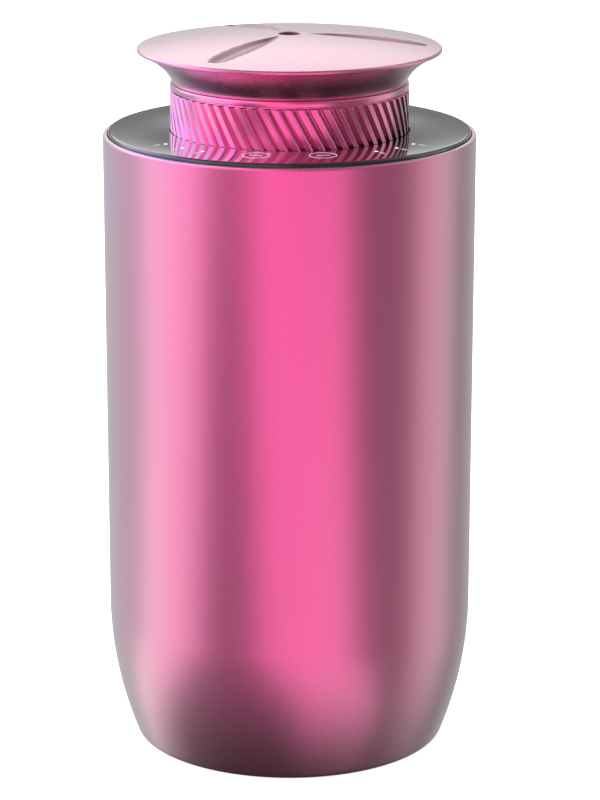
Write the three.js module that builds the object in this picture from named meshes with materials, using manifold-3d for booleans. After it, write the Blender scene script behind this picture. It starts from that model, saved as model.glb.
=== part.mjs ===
// Waterless fragrance diffuser: a pink metal can with a black touch panel, a lift-out
// fragrance bottle, and a ribbed twist head under a flared cap. Millimetres, +Z up.
import * as THREE from 'three';
import { mergeVertices } from 'three/addons/utils/BufferGeometryUtils.js';
import Module from 'manifold-3d';

const wasm = await Module();
wasm.setup();

// Can
const bodyRadius = 35;
const shellTop = 118.5;
const shellWall = 1.2;
const shellBottom = 0.5;
const footRadius = 29.3;
const footCurveTop = 27.2;
const lipBevel = 0.35;
const lipHoleRadius = 24.5;
const lipThick = 1.2;

// Touch panel and what is under it
const panelProud = 0.7;
const panelThick = 1.6;
const panelLedge = 0.75;
const panelEdgeRound = 0.5;
const maskThick = 1.4;
const touchBoardThick = 1;
const keyRadius = 2.6;
const keyInset = 4.1;
const keyAngle = 12.9;
const springHeight = 1.2;
const dotInset = 4.7;
const dotMiddleAngle = 45;
const dotStep = 10.3;
const ledLength = 1.6;
const ledWidth = 1;
const ledHeight = 0.6;

// Head: collar, ring and cap
const collarRadius = 22.35;
const collarWall = 2.05;
const collarGap = 0.45;
const collarShow = 7.5;
const ribCount = 60;
const ribDepth = 0.8;
const ribLean = 28;
const ribLand = 0.45;
const ribSlope = 0.85;
const grooveHeight = 0.35;
const grooveDepth = 0.75;
const trimRingHeight = 1.05;
const capWaistInset = 0.55;
const capRadius = 28.45;
const capFlareHeight = 5.7;
const capRimThick = 0.8;
const capDomeRise = 2.4;
const capWall = 1.5;
const capSpigotWall = 1.1;
const capSpigotDepth = 4.6;
const mistHoleRadius = 1.95;
const leafCount = 3;
const leafInner = 3.2;
const leafRimGap = 3.85;
const leafWidth = 5.4;
const leafDepth = 0.5;
const leafAngle = -3;

// Bottle and its well
const bottleRadius = 12.8;
const bottleWall = 1.4;
const bottleHeight = 62.1;
const neckRadius = 9;
const neckWall = 1.4;
const neckLength = 14;
const neckDrop = 2;
const sealThick = 0.9;
const wellWall = 1.2;
const wellFloor = 1.4;
const padThick = 2.2;

// Atomiser
const skirtWall = 2;
const skirtDepth = 9;
const airGrooveDepth = 2.2;
const baseRoof = 1.4;
const jetRadius = 3.1;
const jetHeight = 2.8;
const jetBore = 0.5;
const dipRadius = 1.6;
const dipBore = 1;
const dipFilterRadius = 2.4;
const dipFilterHeight = 4.6;
const chamberRadius = 9;
const chamberWall = 1;
const chamberHeight = 7.6;
const chimneyWall = 0.8;
const baffleRadius = 3;
const baffleThick = 1;

// Decks and frame
const deckThick = 2.1;
const gasketThick = 0.8;
const platformHeight = 28;
const platformThick = 2;
const postRadius = 2.6;
const postInset = 6;
const postAngle = -90;
const footPostRadius = 3.2;
const footPostRing = 23.2;
const screwRadius = 1;
const screwHeadRadius = 2.2;
const screwHeadHeight = 1.1;
const screwReach = 8;
const basePlateThick = 1.6;
const footPadThick = 0.85;
const footPadInner = 10;
const ventNotchWidth = 3;
const ventNotchDepth = 0.45;

// Battery, boards and charging socket
const cellRadius = 9.2;
const cellLength = 65;
const cellLift = 3;
const cellNubRadius = 2.8;
const cellNubHeight = 0.9;
const cellCupWall = 0.9;
const cellCupHeight = 4.4;
const boardThick = 1.2;
const boardWidth = 30;
const boardHeight = 56;
const boardLift = 12;
const boardOffset = 20.6;
const chipSize = 7;
const coilSize = 7.4;
const chargeBoardWidth = 16;
const chargeBoardDepth = 11;
const chargeBoardLift = 4;
const socketWidth = 8.9;
const socketHeight = 3.3;
const socketDepth = 7.4;
const socketWall = 0.35;
const bezelRim = 1;
const bezelThick = 1.3;

// Pump
const motorRadius = 12;
const motorHeight = 15;
const motorBottom = 8;
const shaftRadius = 1;
const crankRadius = 5;
const crankHeight = 3;
const crankPinRadius = 0.9;
const crankPinOffset = 2.4;
const crankPinHeight = 2.2;
const pumpWall = 1.2;
const pumpHeadRadius = 13.6;
const pumpHeadHeight = 11.6;
const diaphragmThick = 1.2;
const coverHeight = 4.4;
const nippleRadius = 1.2;
const nippleBore = 0.7;
const nippleLength = 5;
const tubeRadius = 2;
const gripWidth = 1.5;

// Clearances
const seat = 0.1;
const slip = 0.2;
const runFit = 0.06;
const loose = 0.35;
const bottleSlip = 0.5;
const oringRoom = 1.6;

const roundSides = 48;
const midSides = 28;
const smallSides = 12;

// Places that follow from the sizes above
const shellInner = bodyRadius - shellWall;
const panelTop = shellTop + panelProud;
const panelBottom = panelTop - panelThick;
const panelSeat = panelBottom - seat;
const panelRadius = bodyRadius - panelLedge - slip;
const panelHole = collarRadius + collarGap;
const keyRingRadius = panelHole + keyInset;
const dotRadius = panelHole + dotInset;
const maskTop = panelSeat;
const maskBottom = maskTop - maskThick;
const boardTop = maskBottom - seat;
const touchBoardBottom = boardTop - touchBoardThick;
const deckTop = touchBoardBottom - seat;
const deckBottom = deckTop - deckThick;
const ringInner = panelHole + 0.6;
const ringOuter = shellInner - loose;
const headBottom = deckTop + seat + gasketThick + slip;
const collarInner = collarRadius - collarWall;
const collarTop = panelTop + collarShow;
const ringBottom = collarTop + grooveHeight;
const ringTop = ringBottom + trimRingHeight;
const capBottom = ringTop + seat;
const capWaistRadius = collarRadius - capWaistInset;
const capRimLow = capBottom + capFlareHeight;
const capRimTop = capRimLow + capRimThick;
const capTop = capRimTop + capDomeRise;
const leafOuter = capRadius - leafRimGap;
const neckTop = headBottom - neckDrop;
const bottleShoulder = neckTop - neckLength;
const bottleBottom = neckTop - bottleHeight;
const skirtInner = neckRadius + loose;
const skirtOuter = skirtInner + skirtWall;
const wellRadius = Math.max(bottleRadius + bottleSlip, skirtOuter + oringRoom);
const wellOuter = wellRadius + wellWall;
const wellTop = deckBottom - seat;
const padTop = bottleBottom - seat;
const wellInside = padTop - padThick - seat;
const wellBottom = wellInside - wellFloor;
const airRing = wellOuter + tubeRadius + 0.8;
const headRadius = collarInner - slip;
const airGrooveInner = airRing - tubeRadius - 0.1;
const airGrooveOuter = headRadius - 0.9;
const headTop = headBottom + airGrooveDepth + baseRoof;
const sealBottom = neckTop + seat;
const neckRoof = sealBottom + sealThick + seat;
const platformTop = platformHeight + platformThick;
const cellBottom = platformTop + cellLift;
const boardBottom = platformTop + boardLift;
const chargeBoardHeight = platformTop + chargeBoardLift;
const postRing = bodyRadius - postInset;
const cellCentre = -(wellOuter + cellRadius + 0.3);
const basePlateBottom = footPadThick + seat;
const basePlateTop = basePlateBottom + basePlateThick;
const lipBottom = basePlateTop + seat;
const footPostBottom = lipBottom + lipThick + seat;
const pumpFloor = motorBottom + motorHeight + loose;
const pumpTop = pumpFloor + pumpHeadHeight;
const diaphragmBottom = pumpTop + slip;
const coverBottom = diaphragmBottom + diaphragmThick + slip;
const coverTop = coverBottom + coverHeight;
const nippleHeight = coverBottom + coverHeight * 0.5;
const crankBottom = pumpFloor + pumpWall + 1.4;
const postAngles = [0, 120, 240].map((step) => postAngle + step);
const socketBottom = chargeBoardHeight + boardThick + seat;
const socketMiddle = socketBottom + socketHeight / 2;

const pink = { color: 0xe8458c, roughness: 0.32, metalness: 1 };
const blackGloss = { color: 0x050506, roughness: 0.06, metalness: 0 };
const blackPlastic = { color: 0x17171a, roughness: 0.55, metalness: 0 };
const greyPlastic = { color: 0x8b8d92, roughness: 0.5, metalness: 0 };
const clearPlastic = { color: 0xcfd8dc, roughness: 0.12, metalness: 0 };
const rubber = { color: 0x202022, roughness: 0.8, metalness: 0 };
const silicone = { color: 0xd9dad6, roughness: 0.45, metalness: 0 };
const steel = { color: 0xb9bcc0, roughness: 0.3, metalness: 1 };
const circuit = { color: 0x0f3d26, roughness: 0.45, metalness: 0 };
const lamp = { color: 0xf6f5ee, roughness: 0.3, metalness: 0 };
const glass = { color: 0xb87333, roughness: 0.08, metalness: 0 };
const wrap = { color: 0x2c5fa8, roughness: 0.4, metalness: 0 };

const diffuser = new THREE.Group();
diffuser.name = 'fragrance_diffuser';

// A checked solid: shared corners merged, slivers of no area dropped, faces outward.
function solid(geometry) {
  const bare = geometry.clone();
  bare.deleteAttribute('normal');
  bare.deleteAttribute('uv');
  const merged = mergeVertices(bare, 1e-4);
  const spots = merged.attributes.position.array;
  const corners = [];
  for (let i = 0; i < merged.index.count; i += 3) {
    const [a, b, c] = [0, 1, 2].map((k) => merged.index.getX(i + k));
    if (a !== b && b !== c && c !== a) corners.push(a, b, c);
  }
  if (signedVolume(spots, corners) < 0) corners.reverse();
  return new wasm.Manifold(new wasm.Mesh({
    numProp: 3,
    vertProperties: Float32Array.from(spots),
    triVerts: Uint32Array.from(corners),
  }));
}

function signedVolume(spots, corners) {
  const at = (k) => new THREE.Vector3().fromArray(spots, corners[k] * 3);
  let total = 0;
  for (let i = 0; i < corners.length; i += 3) total += at(i).dot(at(i + 1).cross(at(i + 2)));
  return total;
}

function addPiece(name, shape, finish, place = [0, 0, 0], spin = 0) {
  const { vertProperties, triVerts } = shape.getMesh();
  const geometry = new THREE.BufferGeometry();
  geometry.setAttribute('position', new THREE.BufferAttribute(Float32Array.from(vertProperties), 3));
  geometry.setIndex(new THREE.BufferAttribute(Uint32Array.from(triVerts), 1));
  geometry.computeVertexNormals();
  const mesh = new THREE.Mesh(geometry, new THREE.MeshStandardMaterial(finish));
  mesh.name = name;
  mesh.position.set(...place);
  mesh.rotation.z = spin;
  diffuser.add(mesh);
}

// Turned piece about Z from [radius, height] corners; a ring closes on itself.
function turned(corners, sides = midSides) {
  const line = corners.map(([r, z]) => new THREE.Vector2(r, z));
  if (corners[0][0] > 0) line.push(line[0].clone());
  return solid(new THREE.LatheGeometry(line, sides).rotateX(Math.PI / 2));
}

function rod(radius, low, high, x = 0, y = 0, sides = smallSides) {
  const shape = new THREE.CylinderGeometry(radius, radius, high - low, sides);
  return solid(shape.rotateX(Math.PI / 2).translate(x, y, (low + high) / 2));
}

function ring(inner, outer, low, high, sides = midSides) {
  return turned([[inner, low], [outer, low], [outer, high], [inner, high]], sides);
}

function block(width, depth, height, x, y, z) {
  return solid(new THREE.BoxGeometry(width, depth, height).translate(x, y, z));
}

// Round-ended slot of the given width and height, lying along Y between two depths.
function slotBar(width, height, near, far, z) {
  const end = height / 2;
  const half = width / 2 - end;
  const outline = new THREE.Shape();
  outline.absarc(half, 0, end, -Math.PI / 2, Math.PI / 2);
  outline.absarc(-half, 0, end, Math.PI / 2, Math.PI * 1.5);
  const bar = new THREE.ExtrudeGeometry(outline, {
    depth: far - near, bevelEnabled: false, curveSegments: 5,
  });
  return solid(bar.rotateX(Math.PI / 2).translate(0, far, z));
}

function joined(...shapes) {
  return shapes.reduce((whole, next) => whole.add(next));
}

function polar(radius, degrees) {
  const angle = THREE.MathUtils.degToRad(degrees);
  return [radius * Math.cos(angle), radius * Math.sin(angle)];
}

// Radius of the lower curve at a height, for a wall set in from the outside.
function curveRadius(height, inset = 0) {
  const sag = bodyRadius - footRadius;
  const rise = footCurveTop - shellBottom;
  const sweep = (sag * sag + rise * rise) / (2 * sag);
  const drop = Math.max(footCurveTop - height, 0);
  return bodyRadius - sweep + Math.sqrt((sweep - inset) ** 2 - drop * drop);
}

function curveWall(low, inset, steps) {
  const points = [];
  for (let i = 0; i <= steps; i += 1) {
    const z = low + (footCurveTop - low) * (i / steps);
    points.push([curveRadius(z, inset), z]);
  }
  return points;
}

function makeShell() {
  const mouth = bodyRadius - panelLedge;
  const lipTop = lipBottom + lipThick;
  const outside = curveWall(shellBottom, 0, 5);
  const inside = curveWall(lipTop, shellWall, 3).reverse();
  const can = turned([
    ...outside,
    [bodyRadius, shellTop - lipBevel], [bodyRadius - lipBevel, shellTop],
    [mouth, shellTop], [mouth, panelSeat], [shellInner, panelSeat],
    ...inside,
    [lipHoleRadius, lipTop], [lipHoleRadius, lipBottom],
    [curveRadius(lipBottom, shellWall), lipBottom],
    [curveRadius(shellBottom, shellWall), shellBottom],
  ], roundSides);
  const opening = slotBar(
    socketWidth + 2 * bezelRim + 2 * slip, socketHeight + 2 * bezelRim + 2 * slip,
    shellInner - 3, bodyRadius + 2, socketMiddle,
  );
  addPiece('outer_shell', can.subtract(opening), pink);
}

function makePanel() {
  const round = panelEdgeRound;
  const corner = [0, 30, 60, 90].map((step) => {
    const [x, z] = polar(round, step);
    return [panelRadius - round + x, panelTop - round + z];
  });
  const plate = turned([
    [panelHole, panelBottom], [panelRadius, panelBottom], ...corner,
    [panelHole + 0.2, panelTop], [panelHole, panelTop - 0.2],
  ], roundSides);
  addPiece('touch_panel', plate, blackGloss);
}

function dotAngles() {
  const steps = [-dotStep, 0, dotStep];
  return [-1, 1].flatMap((side) => steps.map((step) => -90 + side * (dotMiddleAngle + step)));
}

function keyAngles() {
  return [-90 - keyAngle, -90 + keyAngle];
}

function makeLightMask() {
  let mask = ring(ringInner, ringOuter, maskBottom, maskTop, roundSides);
  const reach = [maskBottom - 1, maskTop + 1];
  dotAngles().forEach((angle) => {
    mask = mask.subtract(rod(ledLength / 2 + loose, ...reach, ...polar(dotRadius, angle), 8));
  });
  keyAngles().forEach((angle) => {
    mask = mask.subtract(rod(keyRadius + loose, ...reach, ...polar(keyRingRadius, angle)));
  });
  postAngles.forEach((angle) => {
    mask = mask.subtract(rod(screwHeadRadius + loose, ...reach, ...polar(postRing, angle)));
  });
  addPiece('light_mask', mask, blackPlastic);
}

function makeTouchBoard() {
  let board = ring(ringInner, ringOuter, touchBoardBottom, boardTop, midSides);
  postAngles.forEach((angle) => {
    const hole = rod(screwRadius + loose, touchBoardBottom - 1, boardTop + 1, ...polar(postRing, angle));
    board = board.subtract(hole);
  });
  addPiece('touch_board', board, circuit);
  dotAngles().forEach((angle, i) => {
    const lampBody = block(ledWidth, ledLength, ledHeight, 0, 0, ledHeight / 2);
    const place = [...polar(dotRadius, angle), boardTop + seat];
    addPiece(`indicator_led_${i + 1}`, lampBody, lamp, place, THREE.MathUtils.degToRad(angle));
  });
  keyAngles().forEach((angle, i) => {
    const pad = ring(keyRadius - 1, keyRadius, 0, springHeight, smallSides);
    const place = [...polar(keyRingRadius, angle), boardTop + seat];
    addPiece(i === 0 ? 'touch_spring_left' : 'touch_spring_right', pad, steel, place);
  });
}

function makeDeck() {
  let deck = ring(wellRadius, ringOuter, deckBottom, deckTop, midSides);
  const reach = [deckBottom - 1, deckTop + 1];
  postAngles.forEach((angle) => {
    deck = deck.subtract(rod(screwRadius + loose, ...reach, ...polar(postRing, angle)));
  });
  deck = deck.subtract(rod(tubeRadius - 0.2 + slip, ...reach, airRing));
  addPiece('upper_deck', deck, blackPlastic);

  const gasketLow = deckTop + seat;
  const port = rod(tubeRadius + slip, gasketLow - 1, headBottom + 1, airRing);
  const gasket = ring(wellRadius + 1, headRadius, gasketLow, gasketLow + gasketThick);
  addPiece('head_gasket', gasket.subtract(port), silicone);
}

function makeDeckScrews() {
  const low = boardTop + seat;
  const under = deckBottom - screwReach - low;
  postAngles.forEach((angle, i) => {
    const screw = turned([
      [0, under], [screwRadius, under], [screwRadius, 0], [screwHeadRadius, 0],
      [screwHeadRadius, screwHeadHeight * 0.6], [screwHeadRadius * 0.7, screwHeadHeight],
      [0, screwHeadHeight],
    ], smallSides);
    addPiece(`deck_screw_${i + 1}`, screw, steel, [...polar(postRing, angle), low]);
  });
}

function makeAirNozzle() {
  const bore = nippleBore;
  const barb = nippleRadius;
  const flangeTop = deckBottom - seat;
  const tail = flangeTop - 1.2 - nippleLength;
  const nozzle = turned([
    [bore, tail], [barb - 0.3, tail], [barb, tail + 0.8], [barb, flangeTop - 1.2],
    [tubeRadius + 0.4, flangeTop - 1.2], [tubeRadius + 0.4, flangeTop],
    [tubeRadius - 0.2, flangeTop], [tubeRadius - 0.2, headBottom - slip + 0.6],
    [bore, headBottom - slip + 0.6],
  ], smallSides);
  addPiece('air_nozzle', nozzle, greyPlastic, [airRing, 0, 0]);
}

function makeWell() {
  const well = turned([
    [0, wellBottom], [wellOuter, wellBottom], [wellOuter, wellTop], [wellRadius, wellTop],
    [wellRadius, wellInside], [0, wellInside],
  ]);
  addPiece('bottle_well', well, greyPlastic);
  const pad = rod(wellRadius - loose, padTop - padThick, padTop, 0, 0, midSides);
  addPiece('well_pad', pad, rubber);
}

function makeFrame() {
  let frame = ring(pumpHeadRadius + slip + gripWidth, ringOuter, platformHeight, platformTop);
  const bite = platformHeight + platformThick / 2;
  postAngles.forEach((angle) => {
    const [x, y] = polar(postRing, angle);
    const [u, v] = polar(footPostRing, angle);
    const pilot = rod(screwRadius + runFit, wellTop - screwReach - 2, wellTop + 1, x, y);
    const footPilot = rod(screwRadius + runFit, footPostBottom - 1, footPostBottom + screwReach + 2, u, v);
    frame = frame.add(rod(postRadius, bite, wellTop, x, y).subtract(pilot));
    frame = frame.add(rod(footPostRadius, footPostBottom, bite, u, v).subtract(footPilot));
  });
  frame = frame.add(makeCellCup(bite));
  frame = frame.add(makeBoardRails(bite));
  addPiece('inner_frame', frame, blackPlastic);
}

function makeCellCup(low) {
  const floor = cellBottom - slip;
  const cup = turned([
    [0, low], [cellRadius + slip + cellCupWall, low],
    [cellRadius + slip + cellCupWall, floor + cellCupHeight],
    [cellRadius + slip, floor + cellCupHeight], [cellRadius + slip, floor], [0, floor],
  ]).translate([cellCentre, 0, 0]);
  const can = rod(ringOuter, low - 1, floor + cellCupHeight + 1, 0, 0, midSides);
  const gripClear = rod(
    pumpHeadRadius + slip + 2 * gripWidth + loose, low - 1, floor + cellCupHeight + 1, 0, 0, midSides,
  );
  return cup.intersect(can).subtract(gripClear);
}

function makeBoardRails(low) {
  const railTop = boardBottom + 8;
  const rail = 3;
  const edge = boardWidth / 2;
  const board = block(
    boardWidth + 2 * slip, boardThick + 2 * slip, boardHeight, 0, boardOffset,
    boardBottom - slip + boardHeight / 2,
  );
  const rails = [-1, 1].map((side) => block(
    rail, boardThick + rail, railTop - low, side * edge, boardOffset, (railTop + low) / 2,
  ).subtract(board));
  const depth = chargeBoardDepth - 3;
  const shelf = chargeBoardHeight - seat;
  const ledges = [-1, 1].map((side) => block(
    2, depth, shelf - low, side * (chargeBoardWidth / 2 - 1.4),
    chargeBoardMiddle(), (shelf + low) / 2,
  ));
  return joined(...rails, ...ledges);
}

function chargeBoardMiddle() {
  return shellInner - 1 - chargeBoardDepth / 2 - 1.2;
}

function makeBattery() {
  const cell = turned([
    [0, 0], [cellRadius - 0.6, 0], [cellRadius, 0.6], [cellRadius, cellLength - 0.6],
    [cellRadius - 0.6, cellLength], [cellNubRadius, cellLength],
    [cellNubRadius, cellLength + cellNubHeight], [0, cellLength + cellNubHeight],
  ], 24);
  addPiece('battery_cell', cell, wrap, [cellCentre, 0, cellBottom]);
}

function makeMainBoard() {
  const middle = boardBottom + boardHeight / 2;
  const back = boardOffset + boardThick / 2 + seat;
  addPiece('main_board', block(boardWidth, boardThick, boardHeight, 0, 0, 0), circuit,
    [0, boardOffset, middle]);
  addPiece('driver_chip', block(chipSize, 1, chipSize, 0, 0, 0), blackPlastic,
    [-5, back + 0.5, middle + 10]);
  addPiece('boost_coil', block(coilSize, 3.4, coilSize, 0, 0, 0), greyPlastic,
    [6, back + 1.7, middle - 6]);
  addPiece('battery_plug', block(8, 4.6, 5.8, 0, 0, 0), silicone,
    [-6, back + 2.3, middle - 18]);
}

function makeCharging() {
  const middle = chargeBoardMiddle();
  addPiece('charge_board', block(chargeBoardWidth, chargeBoardDepth, boardThick, 0, 0, 0), circuit,
    [0, middle, chargeBoardHeight + boardThick / 2]);
  const bezelFace = Math.sqrt(bodyRadius ** 2 - (socketWidth / 2 + bezelRim) ** 2) + 0.05;
  const front = bezelFace - 0.4;
  const back = front - socketDepth;
  const bore = slotBar(
    socketWidth - 2 * socketWall, socketHeight - 2 * socketWall, back + 1.2, front + 1, socketMiddle,
  );
  const tongue = block(6.6, socketDepth - 2, 0.7, 0, back + socketDepth / 2, socketMiddle);
  const socket = slotBar(socketWidth, socketHeight, back, front, socketMiddle).subtract(bore);
  addPiece('usb_socket', socket.add(tongue), steel);
  const hole = slotBar(
    socketWidth + 2 * slip, socketHeight + 2 * slip, bezelFace - bezelThick - 1, bezelFace + 1,
    socketMiddle,
  );
  const bezel = slotBar(
    socketWidth + 2 * bezelRim, socketHeight + 2 * bezelRim, bezelFace - bezelThick, bezelFace,
    socketMiddle,
  );
  addPiece('usb_bezel', bezel.subtract(hole), blackPlastic);
}

function makePump() {
  const motorTop = motorBottom + motorHeight;
  const bore = shaftRadius + runFit;
  addPiece('motor_can', turned([
    [0, motorBottom], [motorRadius - 1, motorBottom], [motorRadius, motorBottom + 1],
    [motorRadius, motorTop - 1], [motorRadius - 1, motorTop], [bore, motorTop],
    [bore, motorBottom + 2], [0, motorBottom + 2],
  ]), steel);

  const inside = pumpHeadRadius - pumpWall;
  const floorTop = pumpFloor + pumpWall;
  addPiece('pump_body', turned([
    [shaftRadius + loose, pumpFloor], [pumpHeadRadius, pumpFloor], [pumpHeadRadius, pumpTop],
    [inside, pumpTop], [inside, floorTop], [shaftRadius + loose, floorTop],
  ]), greyPlastic);

  const grip = pumpHeadRadius + slip;
  const low = platformHeight - gripWidth;
  const high = platformTop + gripWidth;
  addPiece('pump_grommet', turned([
    [grip, low], [grip + 2 * gripWidth, low], [grip + 2 * gripWidth, platformHeight - seat],
    [grip + gripWidth - seat, platformHeight - seat], [grip + gripWidth - seat, platformTop + seat],
    [grip + 2 * gripWidth, platformTop + seat], [grip + 2 * gripWidth, high], [grip, high],
  ]), rubber);

  const cups = [60, 180, 300].map((angle) => rod(
    2.8, diaphragmBottom - 0.6, diaphragmBottom + diaphragmThick / 2, ...polar(7, angle),
  ));
  const sheet = rod(pumpHeadRadius - slip, diaphragmBottom, diaphragmBottom + diaphragmThick, 0, 0, midSides);
  addPiece('pump_diaphragm', joined(sheet, ...cups), silicone);

  const nipple = rod(nippleRadius, 0, nippleLength + 1, 0, 0, 16);
  const bend = nipple.rotate([0, 90, 0]).translate([pumpHeadRadius - 1, 0, nippleHeight]);
  const duct = rod(nippleBore, 0, nippleLength + 4, 0, 0, 12).rotate([0, 90, 0]);
  const cover = turned([
    [0, coverBottom + 1.2], [pumpHeadRadius - pumpWall, coverBottom + 1.2],
    [pumpHeadRadius - pumpWall, coverBottom], [pumpHeadRadius, coverBottom],
    [pumpHeadRadius, coverTop - 1], [pumpHeadRadius - 1, coverTop], [0, coverTop],
  ]);
  const drilled = joined(cover, bend).subtract(duct.translate([pumpHeadRadius - 3, 0, nippleHeight]));
  addPiece('valve_cover', drilled, greyPlastic);
}

function makeRocker() {
  const low = crankBottom + crankHeight + crankPinHeight + 0.4;
  const high = diaphragmBottom - 0.6 - slip;
  const plate = rod(7.6, low, high, 0, 0, 24);
  addPiece('rocker_plate', plate, greyPlastic);
}

function makeCrank() {
  const low = motorBottom + 2 + loose;
  const high = crankBottom + crankHeight - 0.4;
  addPiece('motor_shaft', rod(shaftRadius, low, high, 0, 0, 24), steel);
  const hub = turned([
    [shaftRadius + runFit, crankBottom], [crankRadius, crankBottom],
    [crankRadius, crankBottom + crankHeight - 0.4], [crankRadius - 0.4, crankBottom + crankHeight],
    [shaftRadius + runFit, crankBottom + crankHeight],
  ], 24);
  const pinTop = crankBottom + crankHeight + crankPinHeight;
  const pin = rod(crankPinRadius, crankBottom + crankHeight - 0.5, pinTop, crankPinOffset, 0, 12);
  addPiece('crank_hub', hub.add(pin), steel);
}

// Silicone hose from the pump's outlet up the side of the well to the deck nozzle.
function makeAirTube() {
  const start = pumpHeadRadius + 0.8;
  const end = deckBottom - seat - 1.2 - slip;
  const bow = airRing + 7;
  const path = new THREE.CatmullRomCurve3([
    [start, nippleHeight], [start + nippleLength / 2, nippleHeight],
    [start + nippleLength, nippleHeight], [start + nippleLength + 1.2, nippleHeight],
    [bow, nippleHeight + 6],
    [bow - 0.6, nippleHeight + 16], [airRing + 1.6, nippleHeight + 30],
    [airRing, end - 20], [airRing, end - 8], [airRing, end],
  ].map(([x, z]) => new THREE.Vector3(x, 0, z)));
  const section = new THREE.Shape();
  section.absarc(0, 0, tubeRadius, 0, Math.PI * 2);
  const bore = new THREE.Path();
  bore.absarc(0, 0, nippleRadius + 0.15, 0, Math.PI * 2);
  section.holes.push(bore);
  const steps = Math.ceil(path.getLength() / (tubeRadius * 2));
  const hose = new THREE.ExtrudeGeometry(section, { steps, extrudePath: path, curveSegments: 4 });
  addPiece('air_tube', solid(hose), silicone);
}

function makeFoot() {
  const plateRadius = curveRadius(basePlateBottom, shellWall) - slip;
  let plate = rod(plateRadius, basePlateBottom, basePlateTop, 0, 0, roundSides);
  postAngles.forEach((angle) => {
    const [x, y] = polar(footPostRing, angle);
    plate = plate.subtract(footScrew(slip).translate([x, y, 0]));
  });
  [-1, 0, 1].forEach((step) => {
    plate = plate.subtract(block(1.6, 9 - Math.abs(step) * 2, 9, step * 3.4, 0, basePlateTop));
  });
  addPiece('base_plate', plate, blackPlastic);

  const felt = rod(footPadInner - 3.4, basePlateTop + seat, basePlateTop + seat + 1.4, 0, 0, 24);
  addPiece('intake_filter', felt, silicone);

  const padRadius = curveRadius(shellBottom, shellWall) - slip;
  let pad = ring(footPadInner, padRadius, 0, footPadThick, roundSides);
  postAngles.forEach((angle) => {
    const notch = block(padRadius, ventNotchWidth, ventNotchDepth * 2, padRadius / 2 + 6, 0, 0);
    pad = pad.subtract(notch.rotate([0, 0, angle + 60]));
  });
  addPiece('foot_pad', pad, rubber);

  postAngles.forEach((angle, i) => {
    addPiece(`base_screw_${i + 1}`, footScrew(0), steel, [...polar(footPostRing, angle), 0]);
  });
}

function footScrew(extra) {
  const low = basePlateBottom + (extra > 0 ? -0.5 : 0);
  const neck = basePlateBottom + screwHeadHeight;
  const high = footPostBottom + screwReach + extra;
  return turned([
    [0, low], [screwHeadRadius + extra, low], [screwHeadRadius + extra, basePlateBottom],
    [screwRadius + extra, neck], [screwRadius + extra, high], [0, high],
  ].filter((corner, i) => extra > 0 || i !== 2), smallSides);
}

function makeBottle() {
  const inner = bottleRadius - bottleWall;
  const neckInner = neckRadius - neckWall;
  const shoulderRise = bottleRadius - neckRadius;
  addPiece('bottle', turned([
    [0, bottleBottom], [bottleRadius - 1, bottleBottom], [bottleRadius, bottleBottom + 1],
    [bottleRadius, bottleShoulder], [neckRadius, bottleShoulder + shoulderRise],
    [neckRadius, neckTop], [neckInner, neckTop],
    [neckInner, bottleShoulder + shoulderRise - 0.6], [inner, bottleShoulder - 0.6],
    [inner, bottleBottom + bottleWall], [0, bottleBottom + bottleWall],
  ]), glass);
  addPiece('bottle_seal', ring(jetRadius + 2, neckRadius, sealBottom, sealBottom + sealThick), silicone);
}

function makeHeadBase() {
  const skirtBottom = neckTop - skirtDepth;
  const roof = headBottom + airGrooveDepth;
  let base = turned([
    [jetRadius + slip, neckRoof], [skirtInner, neckRoof], [skirtInner, skirtBottom],
    [skirtOuter, skirtBottom], [skirtOuter, headBottom], [airGrooveInner, headBottom],
    [airGrooveInner, roof], [airGrooveOuter, roof], [airGrooveOuter, headBottom],
    [headRadius, headBottom], [headRadius, headTop], [jetRadius + slip, headTop],
  ]);
  [0, 120, 240].forEach((angle) => {
    const duct = rod(0.8, roof - 1, headTop + 1, ...polar(airRing, angle + 60), 10);
    base = base.subtract(duct);
  });
  addPiece('atomiser_base', base, blackPlastic);
  const sealMiddle = (deckTop + deckBottom) / 2;
  const thick = wellRadius - slip - skirtOuter - seat;
  addPiece('head_oring', turned([
    [skirtOuter + seat, sealMiddle - thick / 2], [wellRadius - slip - thick * 0.4, sealMiddle - thick / 2],
    [wellRadius - slip, sealMiddle], [wellRadius - slip - thick * 0.4, sealMiddle + thick / 2],
    [skirtOuter + seat, sealMiddle + thick / 2],
  ]), rubber);
}

function makeJet() {
  const low = neckTop - 0.8;
  const flange = headTop + seat;
  const tip = flange + jetHeight;
  const socket = dipRadius + seat;
  addPiece('jet_nozzle', turned([
    [jetBore, tip], [1, tip], [2.4, flange + 0.8], [jetRadius + 1.9, flange + 0.8],
    [jetRadius + 1.9, flange], [jetRadius, flange], [jetRadius, low], [socket, low],
    [socket, headTop - 2.4], [jetBore, headTop - 2.4],
  ], smallSides), steel);

  const tubeLow = bottleBottom + bottleWall + 3.2;
  addPiece('dip_tube', ring(dipBore, dipRadius, tubeLow, headTop - 2.6, 16), clearPlastic);
  const filterLow = bottleBottom + bottleWall + 0.5;
  addPiece('dip_filter', turned([
    [0, filterLow], [dipFilterRadius, filterLow], [dipFilterRadius, filterLow + dipFilterHeight],
    [socket, filterLow + dipFilterHeight], [socket, tubeLow - slip], [0, tubeLow - slip],
  ], smallSides), silicone);
}

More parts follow.
